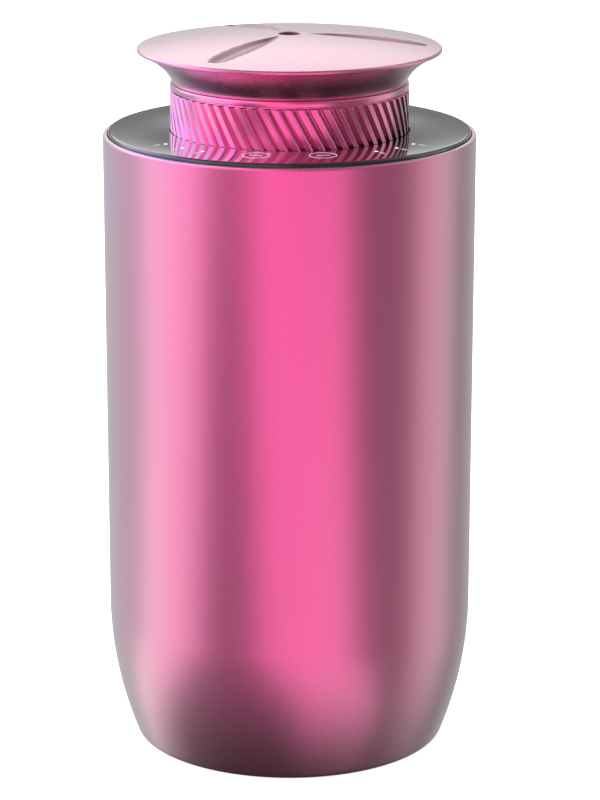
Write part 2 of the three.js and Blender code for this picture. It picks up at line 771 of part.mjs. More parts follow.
function makeChamber() {
  const low = headTop + seat;
  const top = low + chamberHeight;
  const inner = chamberRadius - chamberWall;
  const chimney = mistHoleRadius + chimneyWall;
  addPiece('mist_chamber', turned([
    [inner, low], [chamberRadius, low], [chamberRadius, top - 1.6], [chamberRadius - 1.6, top],
    [chimney + slip, top], [chimney + slip, top - chamberWall],
    [inner - 1, top - chamberWall], [inner, top - 2],
  ]), clearPlastic);

  const level = headTop + seat + jetHeight + 1.2;
  let star = rod(baffleRadius, level, level + baffleThick, 0, 0, 24);
  star = star.add(ring(inner - slip - 0.8, inner - slip, level, level + baffleThick));
  [90, 210, 330].forEach((angle) => {
    const arm = block(inner - slip - 0.5, 1.2, baffleThick, (inner - slip) / 2, 0, level + baffleThick / 2);
    star = star.add(arm.rotate([0, 0, angle]));
  });
  addPiece('baffle', star, clearPlastic);

  const capInside = capTop - capWall - seat;
  addPiece('mist_chimney', turned([
    [mistHoleRadius, top - chamberWall], [chimney, top - chamberWall], [chimney, top + seat],
    [chimney + 1.2, top + seat], [chimney + 1.2, top + seat + 1], [chimney, top + seat + 1],
    [chimney, capInside], [mistHoleRadius, capInside],
  ], 24), clearPlastic);
}

// Saw-tooth ribs: a flat land, a gentle slope down, then a steep face back up.
function makeCollar() {
  const outline = new THREE.Shape();
  const pitch = (Math.PI * 2) / ribCount;
  for (let i = 0; i < ribCount; i += 1) {
    const stops = [[0, 0], [ribLand, 0], [ribSlope, ribDepth]];
    stops.forEach(([share, depth], k) => {
      const angle = (i + share) * pitch;
      const r = collarRadius - depth;
      const spot = [r * Math.cos(angle), r * Math.sin(angle)];
      if (i === 0 && k === 0) outline.moveTo(...spot);
      else outline.lineTo(...spot);
    });
  }
  outline.closePath();
  const bore = new THREE.Path();
  bore.absarc(0, 0, collarInner, 0, Math.PI * 2);
  outline.holes.push(bore);
  const height = collarTop - headBottom;
  const sleeve = new THREE.ExtrudeGeometry(outline, {
    depth: height, steps: 2, bevelEnabled: false, curveSegments: 16,
  });
  leanRibs(sleeve);
  const neck = ring(collarInner, collarRadius - grooveDepth, collarTop - 0.5, ringBottom - seat);
  addPiece('grip_collar', solid(sleeve.translate(0, 0, headBottom)).add(neck), pink);
  const low = ringBottom;
  addPiece('trim_ring', turned([
    [collarInner, low], [collarRadius, low], [collarRadius, ringTop - 0.3],
    [collarRadius - 0.3, ringTop], [collarInner, ringTop],
  ], roundSides), pink);
}

function leanRibs(geometry) {
  const spots = geometry.attributes.position;
  const rate = Math.tan(THREE.MathUtils.degToRad(ribLean)) / collarRadius;
  const spot = new THREE.Vector3();
  const axis = new THREE.Vector3(0, 0, 1);
  for (let i = 0; i < spots.count; i += 1) {
    spot.fromBufferAttribute(spots, i).applyAxisAngle(axis, -spots.getZ(i) * rate);
    spots.setXYZ(i, spot.x, spot.y, spot.z);
  }
}

function domeLine(lower, steps) {
  const points = [];
  for (let i = 0; i <= steps; i += 1) {
    const share = 1 - i / steps;
    const r = mistHoleRadius + (capRadius - 0.3 - mistHoleRadius) * share;
    const fall = (r / (capRadius - 0.3)) ** 2 * capDomeRise;
    points.push([r, capTop - fall - lower]);
  }
  return points;
}

function makeCap() {
  const flare = new THREE.QuadraticBezierCurve(
    new THREE.Vector2(capWaistRadius, capBottom),
    new THREE.Vector2(capWaistRadius + 1.7, capBottom + capFlareHeight * 0.66),
    new THREE.Vector2(capRadius - 0.25, capRimLow),
  );
  const outside = flare.getPoints(4).map((p) => [p.x, p.y]);
  const spigot = collarInner - slip;
  const hollow = spigot - capSpigotWall;
  const roof = capRimLow - 0.7;
  const shell = turned([
    ...outside, [capRadius, capRimLow + 0.3], [capRadius, capRimTop - 0.3], ...domeLine(0, 4),
    [mistHoleRadius, capTop - capWall], [hollow * 0.6, capTop - capWall - 0.6], [hollow, roof],
    [hollow, capBottom - capSpigotDepth], [spigot, capBottom - capSpigotDepth], [spigot, capBottom],
  ], roundSides);
  const below = turned([
    [0, capBottom], [capRadius + 1, capBottom], [capRadius + 1, capRimTop - leafDepth],
    ...domeLine(leafDepth, 4), [0, capTop - leafDepth],
  ]);
  let cap = shell;
  for (let i = 0; i < leafCount; i += 1) {
    cap = cap.subtract(leafPrism(leafAngle + (i * 360) / leafCount).subtract(below));
  }
  addPiece('cap', cap, pink);
}

// Blade-shaped outline: a point near the hole, a round tip near the rim.
function leafPrism(angle) {
  const leaf = new THREE.Shape();
  const mid = (leafInner + leafOuter) / 2;
  leaf.moveTo(leafInner, 0);
  leaf.quadraticCurveTo(mid, leafWidth * 0.8, leafOuter - 2, leafWidth * 0.5);
  leaf.quadraticCurveTo(leafOuter + 0.6, 0, leafOuter - 2, -leafWidth * 0.4);
  leaf.quadraticCurveTo(mid, -leafWidth * 0.6, leafInner, 0);
  const prism = new THREE.ExtrudeGeometry(leaf, { depth: 12, bevelEnabled: false, curveSegments: 4 });
  return solid(prism.translate(0, 0, capTop - 8)).rotate([0, 0, angle]);
}

makeShell();
makePanel();
makeLightMask();
makeTouchBoard();
makeDeck();
makeDeckScrews();
makeAirNozzle();
makeWell();
makeFrame();
makeBattery();
makeMainBoard();
makeCharging();
makePump();
makeRocker();
makeCrank();
makeAirTube();
makeFoot();
makeBottle();
makeHeadBase();
makeJet();
makeChamber();
makeCollar();
makeCap();

export default diffuser;
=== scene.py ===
import math
import bpy
import bmesh
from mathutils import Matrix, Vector


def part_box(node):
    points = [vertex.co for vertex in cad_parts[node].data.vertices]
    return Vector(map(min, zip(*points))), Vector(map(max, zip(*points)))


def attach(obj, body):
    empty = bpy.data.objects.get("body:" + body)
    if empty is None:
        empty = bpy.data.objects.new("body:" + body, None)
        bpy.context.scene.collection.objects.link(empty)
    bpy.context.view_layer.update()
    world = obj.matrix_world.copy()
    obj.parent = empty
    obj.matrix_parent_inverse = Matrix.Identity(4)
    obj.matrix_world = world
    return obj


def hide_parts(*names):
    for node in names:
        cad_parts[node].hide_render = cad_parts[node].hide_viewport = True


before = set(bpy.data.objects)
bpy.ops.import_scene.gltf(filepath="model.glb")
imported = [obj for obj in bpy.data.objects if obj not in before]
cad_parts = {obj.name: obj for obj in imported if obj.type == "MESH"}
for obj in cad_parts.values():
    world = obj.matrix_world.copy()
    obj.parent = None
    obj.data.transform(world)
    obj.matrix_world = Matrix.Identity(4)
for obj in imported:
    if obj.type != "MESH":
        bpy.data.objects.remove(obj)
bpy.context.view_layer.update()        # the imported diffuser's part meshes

mm = 0.001
print("diffuser loaded,", len(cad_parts), "parts")


cameraSetup = {
    "pitch": 15.83,          # degrees below level
    "distance": 584 * mm,
    "aimHeight": 66.2 * mm,
    "lens": 136.7,
    "shiftX": 0.0131,
}


def placeCamera(setup):
    lensData = bpy.data.cameras.new("studioCamera")
    lensData.lens = setup["lens"]
    lensData.sensor_width = 36
    lensData.shift_x = setup["shiftX"]
    lensData.clip_start = 0.01
    lensData.clip_end = 20
    camera = bpy.data.objects.new("studioCamera", lensData)
    bpy.context.scene.collection.objects.link(camera)
    pitch = math.radians(setup["pitch"])
    back = Vector((0, -math.cos(pitch), math.sin(pitch)))
    camera.location = Vector((0, 0, setup["aimHeight"])) + back * setup["distance"]
    camera.rotation_euler = (math.pi / 2 - pitch, 0, 0)
    bpy.context.scene.camera = camera


placeCamera(cameraSetup)
bpy.context.scene.view_settings.view_transform = "Standard"
print("camera placed")


class Wire:
    # one output socket; arithmetic on it adds Math nodes to its tree
    def __init__(self, bench, socket):
        self.bench = bench
        self.socket = socket

    def __add__(self, other):
        return self.bench.calc("ADD", self, other)

    def __radd__(self, other):
        return self.bench.calc("ADD", other, self)

    def __sub__(self, other):
        return self.bench.calc("SUBTRACT", self, other)

    def __rsub__(self, other):
        return self.bench.calc("SUBTRACT", other, self)

    def __mul__(self, other):
        return self.bench.calc("MULTIPLY", self, other)

    def __rmul__(self, other):
        return self.bench.calc("MULTIPLY", other, self)

    def __truediv__(self, other):
        return self.bench.calc("DIVIDE", self, other)

    def __rtruediv__(self, other):
        return self.bench.calc("DIVIDE", other, self)

    def __neg__(self):
        return self.bench.calc("MULTIPLY", self, -1.0)

    def __pow__(self, power):
        return self.bench.calc("POWER", self, power)


class Bench:
    # a node tree, and the one method that puts nodes in it
    def __init__(self, tree):
        self.tree = tree

    def node(self, kind, settings=None, sockets=None, out=0):
        made = self.tree.nodes.new(kind)
        for name, value in (settings or {}).items():
            if name == "stops":
                self.fillRamp(made.color_ramp, value)
            else:
                setattr(made, name, value)
        for key, value in (sockets or {}).items():
            self.feed(made.inputs[key], value)
        return Wire(self, made.outputs[out])

    def feed(self, socket, value):
        if isinstance(value, Wire):
            self.tree.links.new(value.socket, socket)
        else:
            socket.default_value = value

    def fillRamp(self, ramp, stops):
        while len(ramp.elements) < len(stops):
            ramp.elements.new(1.0)
        for element, (place, shade) in zip(ramp.elements, stops):
            element.position = place
            element.color = (shade, shade, shade, 1)

    def calc(self, operation, *values):
        return self.node("ShaderNodeMath", {"operation": operation}, dict(enumerate(values)))

    def parts(self, vector):        # x, y and z of a vector
        first = self.node("ShaderNodeSeparateXYZ", None, {0: vector})
        return [Wire(self, socket) for socket in first.socket.node.outputs]

    def join(self, x, y, z):
        return self.node("ShaderNodeCombineXYZ", None, {0: x, 1: y, 2: z})

    def blend(self, share, first, second):        # two colours
        return self.node("ShaderNodeMix", {"data_type": "RGBA"}, {0: share, 6: first, 7: second}, 2)

    def spread(self, value, low, high, toLow=0.0, toHigh=1.0, kind="SMOOTHSTEP"):
        return self.node("ShaderNodeMapRange", {"interpolation_type": kind}, {
            0: value, 1: low, 2: high, 3: toLow, 4: toHigh})

    def speckle(self, place, scale, detail=2.0, rough=0.5):
        return self.node("ShaderNodeTexNoise", None, {
            "Vector": place, "Scale": scale, "Detail": detail, "Roughness": rough})

    def bump(self, height, distance, strength=1.0):
        return self.node("ShaderNodeBump", None, {
            "Height": height, "Strength": strength, "Distance": distance})


studioSetup = {
    # soft boxes round the turntable, in degrees; azimuth 0 is the front, positive to the right
    # rise and fall are the elevations between which a box fades in and out
    "boxes": [
        {"azimuth": 6.5, "half": 30, "soft": 18, "rise": (-62, -20), "fall": (-8, 0),
         "strength": 1.12, "lean": 1.65, "colour": (1, 1, 1)},
        {"azimuth": -32, "half": 31, "soft": 22, "rise": (-11, -3), "fall": (45, 70),
         "strength": 1.00, "lean": 0.0, "colour": (1, 1, 1)},
        {"azimuth": -77, "half": 24, "soft": 16, "rise": (-46, -25), "fall": (-8, 2),
         "strength": 1.02, "lean": -2.4, "colour": (1, 1, 1)},
        {"azimuth": -92, "half": 38, "soft": 22, "rise": (-8, 2), "fall": (35, 60),
         "strength": 1.35, "lean": 0.0, "colour": (0.80, 0.74, 1.50)},
        {"azimuth": 101, "half": 18, "soft": 16, "rise": (-56, -20), "fall": (45, 70),
         "strength": 0.52, "lean": 0.0, "colour": (1, 1, 1)},
        {"azimuth": -160, "half": 54, "soft": 30, "rise": (-56, -22), "fall": (-4, 8),
         "strength": 0.27, "lean": 0.0, "colour": (1, 1, 1)},
        {"azimuth": -118, "half": 86, "soft": 70, "rise": (9, 20), "fall": (22, 62),
         "strength": 1.20, "lean": 0.0, "colour": (1, 0.97, 0.98)},
        {"azimuth": 45, "half": 42, "soft": 36, "rise": (2, 14), "fall": (40, 60),
         "strength": 0.36, "lean": 0.0, "colour": (1, 1, 1)},
    ],
    "ambient": 0.24,
    "leanStart": -18.5,      # the elevation below which a leaning box starts to lean
    "leanLimit": 18,         # degrees below that, past which it leans no further
    "ambientRise": (-64, -20),
    "floorGlow": 0.03,       # what little comes up from below
    "ceiling": 0.11,
    "ceilingRise": (55, 80),
    "floor": 0.92,
    "floorLight": 0.8,
    "floorHalf": 3.0,        # metres from the middle to an edge
    "floorDrop": 0.02 * mm,
    "sunStrength": 1.5,
    "sunSoftness": 40,
}


def buildStudio(setup):
    world = bpy.data.worlds.new("studio")
    bpy.context.scene.world = world
    world.use_nodes = True
    tree = world.node_tree
    tree.nodes.clear()
    bench = Bench(tree)
    x, y, z = bench.parts(bench.node("ShaderNodeTexCoord", out=0))
    elevation = bench.calc("ARCSINE", z) * math.degrees(1)
    azimuth = bench.calc("ARCTAN2", x, -y) * math.degrees(1)
    below = bench.calc("MAXIMUM", setup["leanStart"] - elevation, 0.0)
    below = bench.calc("MINIMUM", below, setup["leanLimit"])
    base = bench.spread(elevation, *setup["ambientRise"]) * setup["ambient"] + setup["floorGlow"]
    base = base + bench.spread(elevation, *setup["ceilingRise"]) * setup["ceiling"]
    total = bench.join(base, base, base)
    for box in setup["boxes"]:
        away = azimuth - box["azimuth"] - below * box["lean"]
        away = bench.calc("ABSOLUTE", bench.calc("WRAP", away, 180.0, -180.0))
        near, far = box["half"] - box["soft"] / 2, box["half"] + box["soft"] / 2
        glow = bench.spread(away, near, far, 1.0, 0.0) * bench.spread(elevation, *box["rise"])
        glow = glow * bench.spread(elevation, *box["fall"], 1.0, 0.0) * box["strength"]
        tinted = bench.node("ShaderNodeVectorMath", {"operation": "SCALE"}, {
            0: box["colour"], "Scale": glow})
        total = bench.node("ShaderNodeVectorMath", {"operation": "ADD"}, {0: total, 1: tinted})
    seen = bench.node("ShaderNodeLightPath", out="Is Camera Ray")
    shown = bench.blend(seen, total, (1, 1, 1, 1))
    ground = bench.node("ShaderNodeBackground", None, {"Color": shown, "Strength": 1.0})
    end = tree.nodes.new("ShaderNodeOutputWorld")
    bench.feed(end.inputs["Surface"], ground)

    sun = bpy.data.lights.new("ceilingLight", "SUN")
    sun.energy = setup["sunStrength"]
    sun.angle = math.radians(setup["sunSoftness"])
    lamp = bpy.data.objects.new("ceilingLight", sun)
    bpy.context.scene.collection.objects.link(lamp)
    lamp.location = (0, 0, 1)
    lamp.visible_glossy = False        # it lights the plastics, and leaves no disc in the metal


def layFloor(setup):
    mesh = bpy.data.meshes.new("studioFloor")
    half = setup["floorHalf"]
    corners = [(-half, -half, 0), (half, -half, 0), (half, half, 0), (-half, half, 0)]
    mesh.from_pydata(corners, [], [(0, 1, 2, 3)])
    floor = bpy.data.objects.new("studioFloor", mesh)
    bpy.context.scene.collection.objects.link(floor)
    floor.location.z = -setup["floorDrop"]
    floor.visible_glossy = False        # the metal reflects the soft boxes, not the table
    paper = bpy.data.materials.new("palePaper")
    paper.use_nodes = True
    shader = paper.node_tree.nodes["Principled BSDF"]
    shade = setup["floor"]
    shader.inputs["Base Color"].default_value = (shade, shade, shade, 1)
    shader.inputs["Roughness"].default_value = 1
    shader.inputs["Specular IOR Level"].default_value = 0
    shader.inputs["Emission Color"].default_value = (1, 1, 1, 1)
    shader.inputs["Emission Strength"].default_value = setup["floorLight"]
    mesh.materials.append(paper)


buildStudio(studioSetup)
layFloor(studioSetup)
print("studio lit")


def newFinish(name, constants, build, haze=None):
    # build gives the wires of one Principled shader; haze mixes in a paler metal, more so the
    # further the surface turns from the eye, so it changes the colour with the view
    material = bpy.data.materials.new(name)
    material.use_nodes = True
    tree = material.node_tree
    tree.nodes.clear()
    bench = Bench(tree)
    place = bench.node("ShaderNodeTexCoord", out="Object")
    wires = build(bench, place)
    shader = bench.node("ShaderNodeBsdfPrincipled", None, {**constants, **wires})
    if haze:
        pale = {**constants, **wires, "Base Color": haze["colour"], "Roughness": haze["roughness"],
                "Metallic": 1.0}
        slant = bench.node("ShaderNodeLayerWeight", None, {"Blend": 0.5}, "Facing")
        slant = slant ** haze["power"] * haze["share"]
        veil = bench.node("ShaderNodeBsdfPrincipled", None, pale)
        shader = bench.node("ShaderNodeMixShader", None, {0: slant, 1: shader, 2: veil})
    end = tree.nodes.new("ShaderNodeOutputMaterial")
    bench.feed(end.inputs["Surface"], shader)
    return material


pinkLook = {
    "light": (0.83, 0.083, 0.312, 1),
    "dark": (0.66, 0.055, 0.230, 1),
    "haze": (0.82, 0.80, 0.81, 1),
    "headHaze": (0.84, 0.76, 0.80, 1),
    "capHaze": (0.92, 0.83, 0.865, 1),
    # the two leaf colours darken the blade hollows: painted shade in the recesses
    "leafPaintedShadeLight": (0.52, 0.13, 0.24, 1),
    "leafPaintedShadeDark": (0.42, 0.09, 0.18, 1),
    "grain": 5200,             # flakes a metre
    "grainDepth": 0.004 * mm,
    "canRoughness": 0.31,
    "headRoughness": 0.22,
    "capRoughness": 0.28,
    "leafRoughness": 0.33,
}


def anodised(roughness, grainShare, light=pinkLook["light"], dark=pinkLook["dark"]):
    def build(bench, place):
        look = pinkLook
        flake = bench.speckle(place, look["grain"], 1.0)
        cloud = bench.speckle(place, 240, 2.0)
        fine = bench.spread(flake, 0.34, 0.66, kind="LINEAR")
        share = 1 - (1 - fine) * grainShare - (1 - cloud) * 0.05
        rough = roughness + (fine - 0.5) * 0.05 + (cloud - 0.5) * 0.03
        return {"Base Color": bench.blend(share, dark, light), "Roughness": rough,
                "Normal": bench.bump(flake, look["grainDepth"])}
    return build


def mottled(first, second, scale, roughness, relief, detail=3.0):
    # the plain moulded or dyed finishes: two near colours, a changing gloss, a little relief
    def build(bench, place):
        cloud = bench.speckle(place, scale, detail)
        share = bench.spread(cloud, 0.3, 0.7)
        rough = roughness + (cloud - 0.5) * 0.16
        return {"Base Color": bench.blend(share, first, second), "Roughness": rough,
                "Normal": bench.bump(bench.speckle(place, scale * 4, 1.0), relief * mm)}
    return build


def glossPanel(bench, place):
    smudge = bench.speckle(place, 90, 3.0)
    rough = bench.spread(smudge, 0.35, 0.75, 0.035, 0.085)
    tone = bench.blend(smudge, (0.0030, 0.0030, 0.0034, 1), (0.0052, 0.0050, 0.0054, 1))
    return {"Base Color": tone, "Roughness": rough}


def brushedSteel(bench, place):
    x, y, z = bench.parts(place)
    streak = bench.speckle(bench.join(x * 0.15, y * 0.15, z), 6000, 2.0)
    tone = bench.blend(streak, (0.46, 0.47, 0.48, 1), (0.70, 0.70, 0.71, 1))
    return {"Base Color": tone, "Roughness": 0.22 + streak * 0.2,
            "Normal": bench.bump(streak, 0.003 * mm)}


def circuitBoard(bench, place):
    # solder mask with thin copper runs under it and pale pads
    x, y, z = bench.parts(place)
    flat = bench.join(x + y * 0.5, z + y, 0.0)
    runs = bench.node("ShaderNodeTexBrick", {"offset": 0.37}, {
        "Vector": flat, "Scale": 260.0, "Mortar Size": 0.03, "Mortar Smooth": 0.2,
        "Brick Width": 0.9, "Row Height": 0.34}, "Fac")
    pads = bench.node("ShaderNodeTexVoronoi", {"distance": "CHEBYCHEV"}, {
        "Vector": flat, "Scale": 420.0})
    tint = bench.spread(pads, 0.10, 0.13, 1.0, 0.0)
    mask = bench.blend(runs, (0.012, 0.10, 0.040, 1), (0.030, 0.20, 0.075, 1))
    return {"Base Color": bench.blend(tint, mask, (0.62, 0.52, 0.30, 1)), "Metallic": tint * 0.8,
            "Roughness": 0.42 - tint * 0.15, "Normal": bench.bump(runs + tint, 0.02 * mm)}


def wovenFelt(bench, place):
    strand = bench.speckle(place, 3800, 5.0, 0.7)
    pore = bench.node("ShaderNodeTexVoronoi", None, {"Vector": place, "Scale": 1800.0})
    return {"Base Color": bench.blend(strand, (0.60, 0.59, 0.55, 1), (0.92, 0.91, 0.88, 1)),
            "Roughness": 0.85 + strand * 0.1, "Normal": bench.bump(strand - pore * 0.6, 0.08 * mm)}


def cellSleeve(bench, place):
    x, y, z = bench.parts(place)
    band = bench.spread(bench.calc("ABSOLUTE", z - 0.066), 0.0262, 0.0266)
    crinkle = bench.speckle(place, 500, 3.0)
    sleeve = bench.blend(crinkle, (0.020, 0.085, 0.30, 1), (0.035, 0.13, 0.42, 1))
    return {"Base Color": bench.blend(band, sleeve, (0.75, 0.76, 0.78, 1)), "Metallic": band * 0.6,
            "Roughness": 0.28 + crinkle * 0.12, "Normal": bench.bump(crinkle, 0.03 * mm)}


def clearMoulding(bench, place):
    ripple = bench.speckle(place, 300, 2.0)
    return {"Base Color": bench.blend(ripple, (0.88, 0.92, 0.93, 1), (0.97, 0.99, 1.0, 1)),
            "Roughness": 0.05 + ripple * 0.06, "Normal": bench.bump(ripple, 0.01 * mm)}


def amberGlass(bench, place):
    x, y, z = bench.parts(place)
    ripple = bench.speckle(place, 160, 2.0)
    return {"Base Color": bench.blend(ripple, (0.80, 0.40, 0.11, 1), (0.88, 0.50, 0.16, 1)),
            "Roughness": 0.02 + ripple * 0.03, "Normal": bench.bump(ripple, 0.03 * mm)}


paleVeil = {"colour": pinkLook["haze"], "share": 1.0, "power": 1.0, "roughness": 0.34}
headVeil = {"colour": pinkLook["headHaze"], "share": 1.0, "power": 1.0, "roughness": 0.27}
capVeil = {"colour": pinkLook["capHaze"], "share": 1.0, "power": 1.0, "roughness": 0.32}
# the leaf veil is darker than the others: painted shade in the blade hollows
leafPaintedShadeVeil = {"colour": (0.50, 0.41, 0.45, 1), "share": 1.0, "power": 1.0, "roughness": 0.33}
glassVeil = {"colour": (0.62, 0.62, 0.63, 1), "share": 1.0, "power": 2.0, "roughness": 0.05}
metal = {"Metallic": 1.0}
finishes = {
    "can_pink": newFinish(
        "satinPinkCan", metal, anodised(pinkLook["canRoughness"], 0.55), paleVeil),
    "collar_pink": newFinish(
        "satinPinkCollar", metal, anodised(pinkLook["headRoughness"], 0.25), headVeil),
    "cap_pink": newFinish(
        "satinPinkCap", metal, anodised(pinkLook["capRoughness"], 0.16), capVeil),
    "panel_black": newFinish("glossBlackPanel", {"IOR": 1.5}, glossPanel, glassVeil),
    "plastic_black": newFinish("mouldedBlack", {}, mottled(
        (0.012, 0.012, 0.013, 1), (0.024, 0.024, 0.026, 1), 700, 0.5, 0.012)),
    "plastic_grey": newFinish("mouldedGrey", {}, mottled(
        (0.20, 0.205, 0.215, 1), (0.27, 0.275, 0.285, 1), 600, 0.46, 0.012)),
    "plastic_white": newFinish("mouldedWhite", {}, mottled(
        (0.72, 0.71, 0.68, 1), (0.82, 0.81, 0.79, 1), 600, 0.4, 0.01)),
    "plastic_clear": newFinish(
        "clearMoulding", {"Transmission Weight": 0.85, "IOR": 1.49}, clearMoulding),
    "rubber_black": newFinish("blackRubber", {}, mottled(
        (0.014, 0.014, 0.014, 1), (0.030, 0.029, 0.028, 1), 1400, 0.72, 0.03)),
    "silicone": newFinish(
        "milkySilicone", {"Subsurface Weight": 0.12, "Subsurface Scale": 0.001},
        mottled((0.60, 0.61, 0.59, 1), (0.72, 0.73, 0.70, 1), 500, 0.42, 0.01)),
    "steel": newFinish("brushedSteel", metal, brushedSteel),
    "motor_metal": newFinish("platedMotorCan", metal, mottled(
        (0.50, 0.50, 0.49, 1), (0.62, 0.61, 0.60, 1), 900, 0.3, 0.006)),
    "board_green": newFinish("circuitBoard", {}, circuitBoard),
    "lamp_white": newFinish("lampBody", {"Emission Strength": 0.0}, mottled(
        (0.82, 0.81, 0.74, 1), (0.94, 0.93, 0.88, 1), 1500, 0.3, 0.005)),
    "bottle_glass": newFinish("amberGlass", {"Transmission Weight": 0.92, "IOR": 1.5}, amberGlass),
    "cell_wrap": newFinish("cellSleeve", {}, cellSleeve),
    "felt_white": newFinish("intakeFelt", {"Specular IOR Level": 0.2}, wovenFelt),
}
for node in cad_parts.values():
    for held in node.material_slots:
        held.material = finishes[held.material.name]
print("finishes mixed:", len(finishes))


def spanOf(node):        # a node's lowest and highest corners in millimetres
    low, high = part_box(node)
    return [v / mm for v in low], [v / mm for v in high]


def arcPoints(before, corner, after, fillet, steps):
    # a corner rounded by a short curve between its two edges
    here = Vector(corner)
    back, ahead = Vector(before) - here, Vector(after) - here
    reach = min(fillet, back.length * 0.49, ahead.length * 0.49)
    start, end = here + back.normalized() * reach, here + ahead.normalized() * reach
    points = []
    for k in range(steps + 1):
        t = k / steps
        points.append(tuple(start * (1 - t) ** 2 + here * 2 * t * (1 - t) + end * t * t))
    return points


def softLine(corners, steps=3):
    # corners are (radius, height) or (radius, height, fillet), round a closed section
    points = []
    for i, corner in enumerate(corners):
        if len(corner) < 3:
            points.append(corner)
            continue
        before, after = corners[i - 1][:2], corners[(i + 1) % len(corners)][:2]
        points += arcPoints(before, corner[:2], after, corner[2], steps)
    return points


def turnMesh(name, line, sides=160):
    # a closed section in (radius, height) millimetres, turned about the upright axis
    work = bmesh.new()
    rings = []
    for radius, height in line:
        r, z = radius * mm, height * mm
        if r < 1e-7:
            rings.append([work.verts.new((0, 0, z))])
            continue
        angles = [2 * math.pi * k / sides for k in range(sides)]
        rings.append([work.verts.new((r * math.cos(a), r * math.sin(a), z)) for a in angles])
    pairs = list(zip(rings, rings[1:] + rings[:1]))
    for low, high in pairs:
        if len(low) == 1 and len(high) == 1:
            continue
        for k in range(sides):
            n = (k + 1) % sides
            corners = [low[k % len(low)], low[n % len(low)], high[n % len(high)], high[k % len(high)]]
            work.faces.new(list(dict.fromkeys(corners)))
    bmesh.ops.recalc_face_normals(work, faces=work.faces)
    mesh = bpy.data.meshes.new(name)
    work.to_mesh(mesh)
    work.free()
    return mesh


def weld(mesh, gap=0.002 * mm):
    work = bmesh.new()
    work.from_mesh(mesh)
    bmesh.ops.remove_doubles(work, verts=work.verts, dist=gap)
    bmesh.ops.recalc_face_normals(work, faces=work.faces)
    work.to_mesh(mesh)
    work.free()
    return mesh


def addPiece(name, mesh, slotName, body, replaced=(), sharp=32):
    for polygon in mesh.polygons:
        polygon.use_smooth = True
    mesh.set_sharp_from_angle(angle=math.radians(sharp))
    if len(mesh.materials) == 0:
        mesh.materials.append(finishes[slotName])
    piece = bpy.data.objects.new(name, mesh)
    bpy.context.scene.collection.objects.link(piece)
    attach(piece, body)
    if replaced:
        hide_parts(*replaced)
    return piece


def grow(name, sizes, build, seedMesh=None):
    # one Geometry Nodes tree run on a mesh; the result is a plain mesh
    tree = bpy.data.node_groups.new(name + "Rule", "GeometryNodeTree")
    tree.interface.new_socket(name="Geometry", in_out="OUTPUT", socket_type="NodeSocketGeometry")
    tree.interface.new_socket(name="Start", in_out="INPUT", socket_type="NodeSocketGeometry")
    kinds = {int: "NodeSocketInt", float: "NodeSocketFloat"}
    for label, value in sizes.items():
        kind = kinds.get(type(value), "NodeSocketMaterial")
        tree.interface.new_socket(name=label, in_out="INPUT", socket_type=kind)
    bench = Bench(tree)
    entry = tree.nodes.new("NodeGroupInput")
    given = {socket.name: Wire(bench, socket) for socket in entry.outputs if socket.name}
    solid = bench.node("GeometryNodeRealizeInstances", None, {0: build(bench, given)})
    solid = bench.node("GeometryNodeSetMaterial", None, {
        "Geometry": solid, "Material": given["Finish"]})
    bench.feed(tree.nodes.new("NodeGroupOutput").inputs[0], solid)
    maker = bpy.data.objects.new(name + "Maker", seedMesh or bpy.data.meshes.new(name + "Start"))
    bpy.context.scene.collection.objects.link(maker)
    modifier = maker.modifiers.new("rule", "NODES")
    modifier.node_group = tree
    for item in tree.interface.items_tree:
        if item.in_out == "INPUT" and item.name in sizes:
            modifier[item.identifier] = sizes[item.name]
    shot = maker.evaluated_get(bpy.context.evaluated_depsgraph_get())
    mesh = bpy.data.meshes.new_from_object(shot)
    maker.modifiers.remove(modifier)
    bpy.data.objects.remove(maker)
    mesh.name = name
    return mesh


def ringOfCopies(bench, shape, count, turns):
    # one copy of a shape for each step of an angle field, about the upright axis
    spots = bench.node("GeometryNodePoints", None, {"Count": count})
    return bench.node("GeometryNodeInstanceOnPoints", None, {
        "Points": spots, "Instance": shape, "Rotation": bench.join(0.0, 0.0, turns)})


canLow, canHigh = spanOf("outer_shell")
canShape = {
    "radius": canHigh[0],
    "top": canHigh[2],
    "bottom": canLow[2],
    "footRadius": 29.9,
    "curveTop": 27.2,
    "wall": 1.2,
    "bevel": 0.42,
    "ledge": 0.75,           # the lip round the panel
    "ledgeDepth": 1.0,
    "lipHole": 24.5,         # the inward lip that the base plate is screwed to
    "lipTop": 4.2,
    "lipBottom": 2.9,
    "footSoft": 0.15,        # how far the foot's last edge is drawn in
    "curveSteps": 40,
    "sides": 192,
    "portRim": 0.2,          # room round the charging bezel
}


def canRadius(z, inset=0.0):
    shape = canShape
    sag = shape["radius"] - shape["footRadius"]
    rise = shape["curveTop"] - shape["bottom"]
    sweep = (sag * sag + rise * rise) / (2 * sag)
    drop = max(shape["curveTop"] - z, 0)
    return shape["radius"] - sweep + math.sqrt((sweep - inset) ** 2 - drop * drop)


